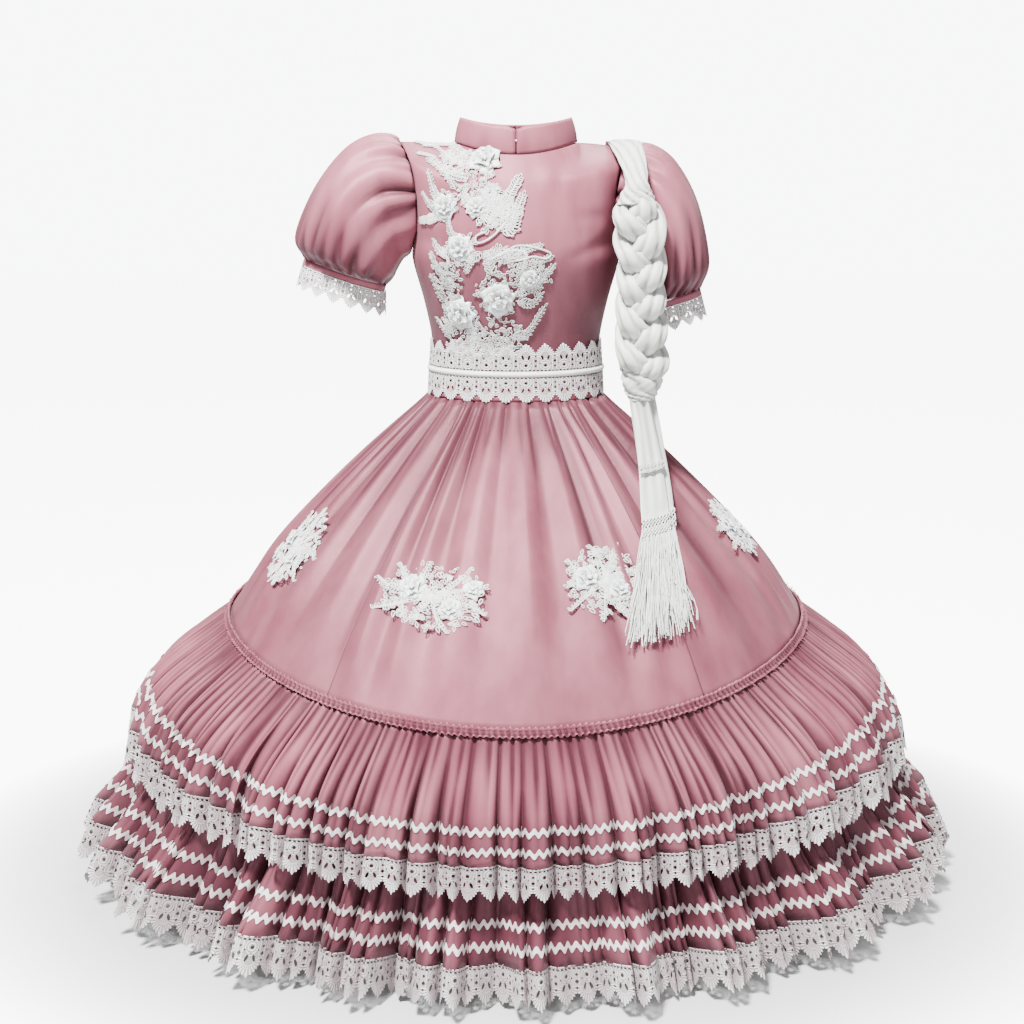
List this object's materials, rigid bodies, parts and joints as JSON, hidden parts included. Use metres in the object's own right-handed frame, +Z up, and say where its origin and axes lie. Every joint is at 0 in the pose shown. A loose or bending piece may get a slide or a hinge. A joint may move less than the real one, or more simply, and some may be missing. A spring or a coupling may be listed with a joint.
{
  "type": "escaramuza dress",
  "caption": "Worn-shape escaramuza dress: stand collar, puff sleeves, lace waist, full gored skirt, lace-edged gathered flounces, white appliques and a braided fringed sash",
  "frame": {"origin": "midway between the two shoulder tops at neck-base level, where the wearer's shoulders carry the dress", "axes": "+X the wearer's left, the widest way across the hem; -Y the front; +Z up, towards the collar"},
  "size_m": [1.4978, 1.0729, 1.1941],
  "materials": {
    "satin": "dusty rose satin weave, soft sheen",
    "lace": "white guipure lace, matte",
    "trim": "white woven braid, matte",
    "applique": "white corded lace applique",
    "sash": "ivory white satin, soft sheen"
  },
  "bodies": {
    "root": {"bodice_applique_lower": "applique", "bodice_applique_upper": "applique", "bodice_back_left": "satin", "bodice_back_right": "satin", "bodice_front": "satin", "collar_left": "satin", "collar_right": "satin", "flounce_header_back": "satin", "flounce_header_front": "satin", "lower_flounce_back": "satin", "lower_flounce_front": "satin", "lower_flounce_left": "satin", "lower_flounce_right": "satin", "lower_lace_back": "lace", "lower_lace_front": "lace", "lower_lace_left": "lace", "lower_lace_right": "lace", "sash_fringe_back": "sash", "sash_fringe_front": "sash", "sash_strand_1": "sash", "sash_strand_2": "sash", "sash_strand_3": "sash", "sash_strap": "sash", "sash_tail_back": "sash", "sash_tail_front": "sash", "sash_wrap": "sash", "skirt_applique_front_left": "applique", "skirt_applique_front_right": "applique", "skirt_applique_left": "applique", "skirt_applique_right": "applique", "skirt_back_left": "satin", "skirt_back_right": "satin", "skirt_front": "satin", "skirt_left": "satin", "skirt_right": "satin", "sleeve_band_left": "satin", "sleeve_band_right": "satin", "sleeve_lace_left": "lace", "sleeve_lace_right": "lace", "sleeve_left": "satin", "sleeve_right": "satin", "upper_flounce_back": "satin", "upper_flounce_front": "satin", "upper_flounce_left": "satin", "upper_flounce_right": "satin", "upper_lace_back": "lace", "upper_lace_front": "lace", "upper_lace_left": "lace", "upper_lace_right": "lace", "waist_braid": "trim", "waist_lace_lower": "lace", "waist_lace_upper": "lace", "waistband": "satin"}
  },
  "joints": []
}
